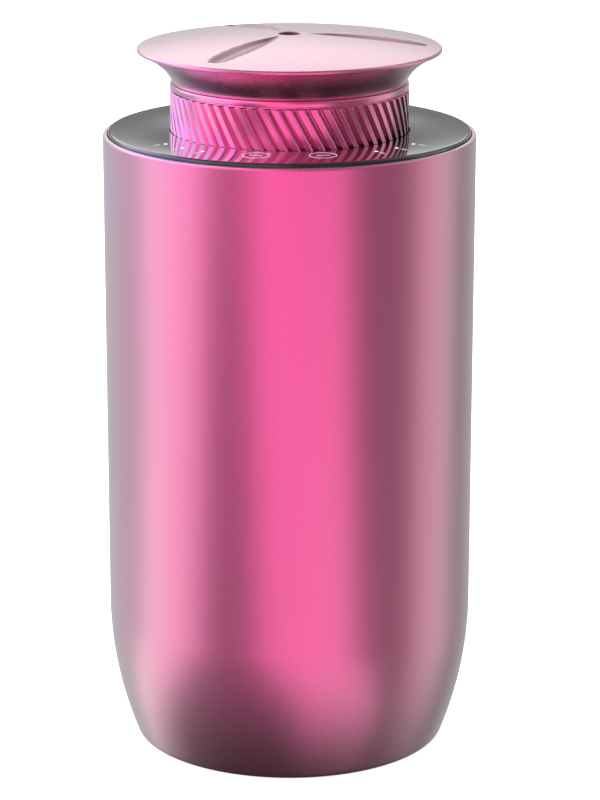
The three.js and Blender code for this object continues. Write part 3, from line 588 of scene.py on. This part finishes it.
def canLine():
    shape = canShape
    bottom, top, steps = shape["bottom"], shape["top"], shape["curveSteps"]
    radius, bevel, wall = shape["radius"], shape["bevel"], shape["wall"]
    line = [(canRadius(bottom) - shape["footSoft"], bottom), (canRadius(bottom) - 0.04, bottom + 0.05)]
    for i in range(steps + 1):
        z = bottom + 0.3 + (shape["curveTop"] - bottom - 0.3) * i / steps
        line.append((canRadius(z), z))
    line += [(radius, 60), (radius, 100), (radius, top - bevel - 0.25)]
    line += arcPoints((radius, top - 9), (radius, top), (radius - 9, top), bevel, 4)
    ledge, seat = radius - shape["ledge"], top - shape["ledgeDepth"]
    line += [(ledge, top), (ledge, seat), (radius - wall, seat)]
    line.append((radius - wall, shape["curveTop"]))
    lipHole, lipTop, lipBottom = shape["lipHole"], shape["lipTop"], shape["lipBottom"]
    for i in range(9):
        z = shape["curveTop"] - (shape["curveTop"] - lipTop) * i / 8
        line.append((canRadius(z, wall), z))
    line += [(lipHole, lipTop), (lipHole, lipBottom), (canRadius(lipBottom, wall), lipBottom)]
    line.append((canRadius(bottom, wall), bottom))
    return line


def slotPrism(name, width, height, near, far, middle):
    # a stadium outline in the xz plane pushed along y, in millimetres
    radius = height / 2
    outline = []
    for side, start in ((1, -90), (-1, 90)):
        for k in range(17):
            turn = math.radians(start + 180 * k / 16)
            x = side * (width / 2 - radius) + radius * math.cos(turn)
            outline.append((x * mm, middle * mm + radius * math.sin(turn) * mm))
    work = bmesh.new()
    front = [work.verts.new((x, near * mm, z)) for x, z in outline]
    back = [work.verts.new((x, far * mm, z)) for x, z in outline]
    work.faces.new(front)
    work.faces.new(list(reversed(back)))
    for k in range(len(front)):
        n = (k + 1) % len(front)
        work.faces.new([front[k], back[k], back[n], front[n]])
    bmesh.ops.recalc_face_normals(work, faces=work.faces)
    mesh = bpy.data.meshes.new(name)
    work.to_mesh(mesh)
    work.free()
    return mesh


def cutWith(mesh, cutterMesh):
    # the first mesh less the second, by an exact Boolean that is applied at once
    body = bpy.data.objects.new("cutBody", mesh)
    cutter = bpy.data.objects.new("cutTool", cutterMesh)
    for held in (body, cutter):
        bpy.context.scene.collection.objects.link(held)
    cut = body.modifiers.new("cut", "BOOLEAN")
    cut.operation = "DIFFERENCE"
    cut.solver = "EXACT"
    cut.object = cutter
    shot = body.evaluated_get(bpy.context.evaluated_depsgraph_get())
    result = bpy.data.meshes.new_from_object(shot)
    bpy.data.objects.remove(body)
    bpy.data.objects.remove(cutter)
    return result


def buildCan():
    shape = canShape
    bezelLow, bezelHigh = spanOf("usb_bezel")
    room = 2 * shape["portRim"]
    tool = slotPrism(
        "portTool", bezelHigh[0] - bezelLow[0] + room, bezelHigh[2] - bezelLow[2] + room,
        shape["radius"] - 4, shape["radius"] + 2, (bezelHigh[2] + bezelLow[2]) / 2)
    mesh = cutWith(turnMesh("canShell", canLine(), shape["sides"]), tool)
    mesh.name = "canShell"
    addPiece("canShell", mesh, "can_pink", "housing", ["outer_shell"], 25)


buildCan()
print("can turned")


panelLow, panelHigh = spanOf("touch_panel")
panelShape = {
    "radius": panelHigh[0],
    "hole": 22.52,
    "low": panelLow[2],
    "top": panelHigh[2],
    "edgeRound": 0.6,
    "holeRound": 0.25,
    "sides": 192,
    "markRise": 0.03,        # how far the printed marks stand above the panel
    "dotRing": 27.5,
    "dotRadius": 0.36,
    "dotSpread": 45.0,       # degrees from the front to each group's middle lamp
    "dotStep": 10.3,
    "tagRing": 29.35,
    "tagLength": 1.4,
    "tagWidth": 0.34,
    "keyRing": 26.9,
    "keyAngle": 12.9,
    "keyRadius": 2.46,
    "keyLine": 0.2,
}


def panelLine():
    shape = panelShape
    radius, hole, low, top = shape["radius"], shape["hole"], shape["low"], shape["top"]
    return softLine([
        (hole, low), (radius, low), (radius, top, shape["edgeRound"]), (hole, top, shape["holeRound"]),
    ], 6)


def groupTurns(bench, given):
    # the lamps stand in two groups of three, mirrored about the front
    index = bench.node("GeometryNodeInputIndex")
    side = bench.calc("FLOOR", index / 3.0) * 2.0 - 1.0
    step = bench.calc("MODULO", index, 3.0) - 1.0
    return bench.calc("RADIANS", side * (given["Spread"] + step * given["Step"]) - 90.0)


def lampDots(bench, given):
    dot = bench.node("GeometryNodeMeshCylinder", None, {
        "Vertices": 20, "Radius": given["Dot Radius"], "Depth": given["Thickness"]})
    dot = bench.node("GeometryNodeTransform", None, {0: dot, "Translation": bench.join(
        given["Ring"], 0.0, given["Height"])})
    return ringOfCopies(bench, dot, 6, groupTurns(bench, given))


def lampTags(bench, given):
    tag = bench.node("GeometryNodeMeshCube", None, {"Size": bench.join(
        given["Length"], given["Width"], given["Thickness"])})
    tag = bench.node("GeometryNodeTransform", None, {0: tag, "Translation": bench.join(
        given["Ring"], 0.0, given["Height"])})
    return ringOfCopies(bench, tag, 6, groupTurns(bench, given))


def keyMarks(bench, given):
    # two touch rings, each with a short bar in the middle
    index = bench.node("GeometryNodeInputIndex")
    turns = bench.calc("RADIANS", (index * 2.0 - 1.0) * given["Spread"] - 90.0)
    loop = bench.node("GeometryNodeCurvePrimitiveCircle", None, {
        "Resolution": 64, "Radius": given["Ring Radius"]})
    section = bench.node("GeometryNodeCurvePrimitiveQuadrilateral", None, {
        "Width": given["Line Width"], "Height": given["Thickness"]})
    ring = bench.node("GeometryNodeCurveToMesh", None, {0: loop, "Profile Curve": section})
    bar = bench.node("GeometryNodeMeshCube", None, {"Size": bench.join(
        given["Line Width"] * 1.6, given["Bar Length"], given["Thickness"])})
    both = bench.tree.nodes.new("GeometryNodeJoinGeometry")
    for part in (ring, bar):
        bench.feed(both.inputs[0], part)
    place = bench.join(given["Key Ring"], 0.0, given["Height"])
    moved = bench.node("GeometryNodeTransform", None, {
        0: Wire(bench, both.outputs[0]), "Translation": place})
    return ringOfCopies(bench, moved, 2, turns)


def inkBuild(bench, place):
    wear = bench.speckle(place, 2500, 2.0)
    return {"Base Color": bench.blend(wear, (0.62, 0.60, 0.62, 1), (0.86, 0.84, 0.86, 1)),
            "Roughness": 0.4 + wear * 0.15, "Normal": bench.bump(wear, 0.004 * mm)}


def lampInkBuild(bench, place):
    wear = bench.speckle(place, 2500, 2.0)
    return {"Base Color": bench.blend(wear, (0.86, 0.86, 0.86, 1), (0.96, 0.96, 0.96, 1)),
            "Roughness": 0.3 + wear * 0.1}


def buildPanel():
    shape = panelShape
    skin = turnMesh("panelSkin", panelLine(), shape["sides"])
    addPiece("panelSkin", skin, "panel_black", "housing", ["touch_panel"], 40)
    # the grey print glows faintly though it is no lamp: painted light
    glowingInk = newFinish("greyInk", {
        "Emission Color": (1, 0.95, 0.98, 1), "Emission Strength": 0.12}, inkBuild)
    lit = newFinish("lampInk", {
        "Emission Color": (1, 1, 1, 1), "Emission Strength": 0.7}, lampInkBuild)
    common = {"Thickness": 2 * shape["markRise"] * mm, "Height": shape["top"] * mm}
    groups = {"Spread": shape["dotSpread"], "Step": shape["dotStep"]}
    dots = grow("indicatorDots", {
        **common, **groups, "Ring": shape["dotRing"] * mm, "Dot Radius": shape["dotRadius"] * mm,
        "Finish": lit}, lampDots)
    addPiece("indicatorDots", dots, "lamp_white", "housing")
    tags = grow("indicatorTags", {
        **common, **groups, "Ring": shape["tagRing"] * mm, "Length": shape["tagLength"] * mm,
        "Width": shape["tagWidth"] * mm, "Finish": glowingInk}, lampTags)
    addPiece("indicatorTags", tags, "lamp_white", "housing")
    keys = grow("touchKeyMarks", {
        **common, "Finish": glowingInk, "Spread": shape["keyAngle"], "Key Ring": shape["keyRing"] * mm,
        "Ring Radius": shape["keyRadius"] * mm, "Line Width": shape["keyLine"] * mm,
        "Bar Length": shape["keyRadius"] * mm}, keyMarks)
    addPiece("touchKeyMarks", weld(keys), "lamp_white", "housing")


buildPanel()
print("panel laid and marked")


collarLow, collarHigh = spanOf("grip_collar")
collarShape = {
    "radius": collarHigh[0],
    "inner": 20.3,
    "low": collarLow[2],
    "ribTop": 126.7,
    "neckTop": collarHigh[2],
    "neckRadius": 21.5,
    "edge": 0.16,
    "ribs": 60,
    "ribDepth": 0.8,
    "lean": 28.0,            # degrees
    "land": 0.45,            # share of a rib that is the flat crest
    "slope": 0.85,           # share at which the slope reaches the root
    "rows": 9,
    "stops": [0.0, 0.015, 0.435, 0.465, 0.655, 0.835, 0.865, 0.985, 1.0],
}


def ribSlice():
    # one rib's slice, kept flat: x is the share across the rib, y the radius, z the height
    shape = collarShape
    radius, inner, edge = shape["radius"], shape["inner"], shape["edge"]
    low, top = shape["low"], shape["ribTop"]
    rows = [(radius - edge, low, 1)]
    for k in range(shape["rows"] + 1):
        rows.append((radius, low + edge + (top - low - 2 * edge) * k / shape["rows"], 1))
    rows += [(radius - edge, top, 1), (shape["neckRadius"], top, 0)]
    neckTop = shape["neckTop"]
    rows += [(shape["neckRadius"], neckTop, 0), (inner, neckTop, 0), (inner, low, 0)]
    stops = shape["stops"]
    spots, shares, faces = [], [], []
    for share in stops:
        for r, z, ribbed in rows:
            spots.append((share, r * mm, z * mm))
            shares.append(float(ribbed))
    count = len(rows)
    for i in range(len(stops) - 1):
        for j in range(count):
            n = (j + 1) % count
            faces.append((i * count + j, (i + 1) * count + j, (i + 1) * count + n, i * count + n))
    mesh = bpy.data.meshes.new("ribSlice")
    mesh.from_pydata(spots, [], faces)
    marks = mesh.attributes.new("ribbed", "FLOAT", "POINT")
    marks.data.foreach_set("value", shares)
    return mesh


def ribRule(bench, given):
    share, radius, height = bench.parts(bench.node("GeometryNodeInputPosition"))
    ribbed = bench.node("GeometryNodeInputNamedAttribute", {"data_type": "FLOAT"}, {"Name": "ribbed"})
    down = bench.spread(share, given["Land"], given["Slope"], kind="LINEAR")
    up = bench.spread(share, given["Slope"], 1.0, kind="LINEAR")
    reach = radius - (down - up) * given["Rib Depth"] * ribbed
    pitch = 2 * math.pi / given["Ribs"]
    lean = bench.calc("TANGENT", bench.calc("RADIANS", given["Lean"])) / given["Radius"]
    turn = share * pitch - (height - given["Base"]) * lean
    spot = bench.join(reach * bench.calc("COSINE", turn), reach * bench.calc("SINE", turn), height)
    rib = bench.node("GeometryNodeSetPosition", None, {"Geometry": given["Start"], "Position": spot})
    return ringOfCopies(bench, rib, given["Ribs"], bench.node("GeometryNodeInputIndex") * pitch)


def buildCollar():
    shape = collarShape
    mesh = grow("ribbedCollar", {
        "Ribs": shape["ribs"], "Rib Depth": shape["ribDepth"] * mm, "Lean": shape["lean"],
        "Land": shape["land"], "Slope": shape["slope"], "Radius": shape["radius"] * mm,
        "Base": shape["low"] * mm, "Finish": finishes["collar_pink"]}, ribRule, ribSlice())
    addPiece("ribbedCollar", weld(mesh), "collar_pink", "twist_head", ["grip_collar"], 20)
    low, high = spanOf("trim_ring")
    ring = softLine([(shape["inner"], low[2]), (shape["radius"], low[2], 0.12),
                     (shape["radius"], high[2], 0.3), (shape["inner"], high[2])], 4)
    ringMesh = turnMesh("trimRing", ring, 192)
    addPiece("trimRing", ringMesh, "collar_pink", "twist_head", ["trim_ring"], 40)


buildCollar()
print("collar ribbed")


capLow, capHigh = spanOf("cap")
capShape = {
    "radius": capHigh[0],
    "top": capHigh[2],
    "spigotLow": capLow[2],
    "low": 128.2,
    "waist": 21.8,
    "flare": 5.7,
    "rim": 0.8,
    "domeRise": 2.4,
    "wall": 1.5,
    "hole": 1.98,
    "holeRound": 0.35,
    "spigot": 20.1,
    "spigotWall": 1.1,
    "domeSteps": 84,
    "flareSteps": 22,
    "sides": 288,
    "leaves": 3,
    "leafAngle": -3.0,
    "leafInner": 3.2,
    "leafOuter": 25.7,
    "leafDepth": 0.6,
    "leafWide": (4.3, 2.7),      # the blade's broad side: its pull, and its width at the tip
    "leafThin": (-3.2, -2.2),
    "leafTip": 0.84,             # share of the length at which the blade starts to close
    "leafCrease": 0.42,          # share of the width at which the hollow is deepest
    "leafEdge": 0.012,           # the least depth that gets the hollow's darker finish, which is painted shade
}


def domeHeight(radius):
    shape = capShape
    edge = shape["radius"] - 0.3
    return shape["top"] - (radius / edge) ** 2 * shape["domeRise"]


def capLine():
    shape = capShape
    low, rimLow = shape["low"], shape["low"] + shape["flare"]
    start, end = Vector((shape["waist"], low)), Vector((shape["radius"] - 0.25, rimLow))
    pull = Vector((shape["waist"] + 1.7, low + shape["flare"] * 0.66))
    line = []
    for k in range(shape["flareSteps"] + 1):
        t = k / shape["flareSteps"]
        line.append(tuple(start * (1 - t) ** 2 + pull * 2 * t * (1 - t) + end * t * t))
    radius, rimTop = shape["radius"], rimLow + shape["rim"]
    line += [(radius - 0.03, rimLow + 0.13), (radius, rimLow + 0.18), (radius, rimTop - 0.28)]
    line += [(radius - 0.025, rimTop - 0.23), (radius - 0.26, rimTop - 0.02)]
    hole, soft = shape["hole"], shape["holeRound"]
    steps = shape["domeSteps"]
    for k in range(steps + 1):
        r = radius - 0.3 - (radius - 0.3 - hole - soft) * k / steps
        line.append((r, domeHeight(r)))
    line += [(hole + soft * 0.3, domeHeight(hole) - soft * 0.3), (hole, domeHeight(hole) - soft)]
    under = shape["top"] - shape["wall"]
    hollow = shape["spigot"] - shape["spigotWall"]
    line += [(hole, under), (hollow * 0.6, under - 0.6), (hollow, rimLow - 0.7)]
    spigot, spigotLow = shape["spigot"], shape["spigotLow"]
    line += [(hollow, spigotLow), (spigot, spigotLow), (spigot, low)]
    return line


def bowOf(t, start, pull, end):        # a quadratic curve's value
    return start * (1 - t) ** 2 + pull * 2 * t * (1 - t) + end * t * t


def leafDip(x, y):
    # how deep the blade-shaped hollow is at a spot along and across it, in millimetres
    shape = capShape
    t = (x - shape["leafInner"]) / (shape["leafOuter"] - shape["leafInner"])
    if t <= 0 or t >= 1:
        return 0.0
    tip, crease = shape["leafTip"], shape["leafCrease"]
    taper = min(t / tip, 1.0)
    wide = bowOf(taper, 0, *shape["leafWide"])
    thin = bowOf(taper, 0, *shape["leafThin"])
    if t > tip:
        close = math.sqrt(max(1 - ((t - tip) / (1 - tip)) ** 2, 0))
        wide, thin = wide * close, thin * close
    if wide - thin < 0.05 or y <= thin or y >= wide:
        return 0.0
    s = (y - thin) / (wide - thin)
    steep = min(s / crease, 1.0)
    gentle = min((1 - s) / (1 - crease), 1.0)
    bowl = (steep * steep * (3 - 2 * steep)) * (gentle * gentle * (3 - 2 * gentle))
    return shape["leafDepth"] * bowl * min(t * 5, 1.0)


def dipAt(x, y):
    shape = capShape
    total = 0.0
    for k in range(shape["leaves"]):
        turn = math.radians(shape["leafAngle"] + 360 / shape["leaves"] * k)
        along = x * math.cos(turn) + y * math.sin(turn)
        across = y * math.cos(turn) - x * math.sin(turn)
        total += leafDip(along, across)
    return total


def buildCap():
    shape = capShape
    mesh = turnMesh("capSkin", capLine(), shape["sides"])
    for vertex in mesh.vertices:
        x, y, z = [v / mm for v in vertex.co]
        if abs(z - domeHeight(math.hypot(x, y))) < 0.01:
            vertex.co.z -= dipAt(x, y) * mm
    mesh.materials.append(finishes["cap_pink"])
    # the blade hollows take a darker copy of the pink metal: painted shade
    mesh.materials.append(newFinish("blastedPinkLeaf", metal, anodised(
        pinkLook["leafRoughness"], 0.5, pinkLook["leafPaintedShadeLight"], pinkLook["leafPaintedShadeDark"]), leafPaintedShadeVeil))
    # the mist hole's bore gets a dark plum colour: painted shade inside the hole
    mesh.materials.append(newFinish("plumBore", {}, mottled(
        (0.10, 0.018, 0.038, 1), (0.16, 0.030, 0.060, 1), 900, 0.45, 0.01)))
    for face in mesh.polygons:
        x, y, z = [v / mm for v in face.center]
        reach = math.hypot(x, y)
        # faces in the blade hollows take the darker painted-shade finish
        if z > domeHeight(reach) - 0.9 and dipAt(x, y) > shape["leafEdge"]:
            face.material_index = 1
        # faces inside the mist hole take the bore's dark painted shade
        elif reach < shape["hole"] + 0.1 and z > shape["low"]:
            face.material_index = 2
    addPiece("capSkin", mesh, "cap_pink", "twist_head", ["cap"], 22)


buildCap()
print("cap shaped")


bottleLow, bottleHigh = spanOf("bottle")
bottleShape = {
    "radius": bottleHigh[0],
    "low": bottleLow[2],
    "top": bottleHigh[2],
    "neck": 9.0,
    "wall": 1.4,
    "neckLength": 14.0,
    "fill": 0.72,            # share of the straight part that holds oil
    "gap": 0.03,
    "sides": 96,
}


def bottleLine():
    shape = bottleShape
    radius, neck, wall, low, top = [shape[k] for k in ("radius", "neck", "wall", "low", "top")]
    shoulder = top - shape["neckLength"]
    rise = radius - neck
    return softLine([
        (0, low + 0.5), (radius - 3.5, low + 0.1, 0.5), (radius, low, 1.6), (radius, shoulder, 1.2),
        (neck, shoulder + rise, 1.0), (neck, top, 0.3), (neck - wall, top, 0.3),
        (neck - wall, shoulder + rise - 0.6, 0.8), (radius - wall, shoulder - 0.6, 1.0),
        (radius - wall, low + wall, 1.4), (0, low + wall + 0.2),
    ], 5)


def oilLine():
    shape = bottleShape
    inner = shape["radius"] - shape["wall"] - shape["gap"]
    low = shape["low"] + shape["wall"] + 0.25
    high = low + (shape["top"] - shape["neckLength"] - low) * shape["fill"]
    return softLine([(0, low), (inner, low, 1.4), (inner, high, 0.3), (inner - 0.7, high - 0.25, 0.3),
                     (0, high - 0.3)], 4)


def oilBuild(bench, place):
    x, y, z = bench.parts(place)
    # the oil is darker towards the bottom and paler towards its top
    depth = bench.spread(z, 0.050, 0.095)
    return {"Base Color": bench.blend(depth, (0.86, 0.60, 0.16, 1), (0.95, 0.76, 0.30, 1)),
            "Roughness": 0.02 + bench.speckle(place, 80) * 0.02}


def buildCartridge():
    shape = bottleShape
    mesh = turnMesh("glassBottle", bottleLine(), shape["sides"])
    addPiece("glassBottle", mesh, "bottle_glass", "cartridge", ["bottle"], 50)
    oil = turnMesh("fragranceOil", oilLine(), shape["sides"])
    oil.materials.append(newFinish(
        "fragranceOil", {"Transmission Weight": 0.95, "IOR": 1.46}, oilBuild))
    addPiece("fragranceOil", oil, "bottle_glass", "cartridge", (), 50)
    low, high = spanOf("head_oring")
    middle, thick = (low[2] + high[2]) / 2, high[2] - low[2]
    cord = [(high[0] - thick / 2 + thick / 2 * math.cos(a), middle + thick / 2 * math.sin(a))
            for a in [2 * math.pi * k / 20 for k in range(20)]]
    seal = turnMesh("sealingRing", cord, 96)
    addPiece("sealingRing", seal, "rubber_black", "twist_head", ["head_oring"], 60)


buildCartridge()
print("cartridge filled")


wellShape = {
    "inner": 13.3,
    "outer": 14.5,
    "floor": 1.4,
    "sides": 96,
}


def buildWell():
    shape = wellShape
    low, high = spanOf("bottle_well")
    line = softLine([
        (0, low[2]), (shape["outer"], low[2], 0.5), (shape["outer"], high[2], 0.15),
        (shape["inner"], high[2], 0.3), (shape["inner"], low[2] + shape["floor"], 0.4),
        (0, low[2] + shape["floor"]),
    ], 4)
    addPiece("bottleSleeve", turnMesh("bottleSleeve", line, shape["sides"]),
             "plastic_grey", "housing", ["bottle_well"], 40)


buildWell()
print("well turned")
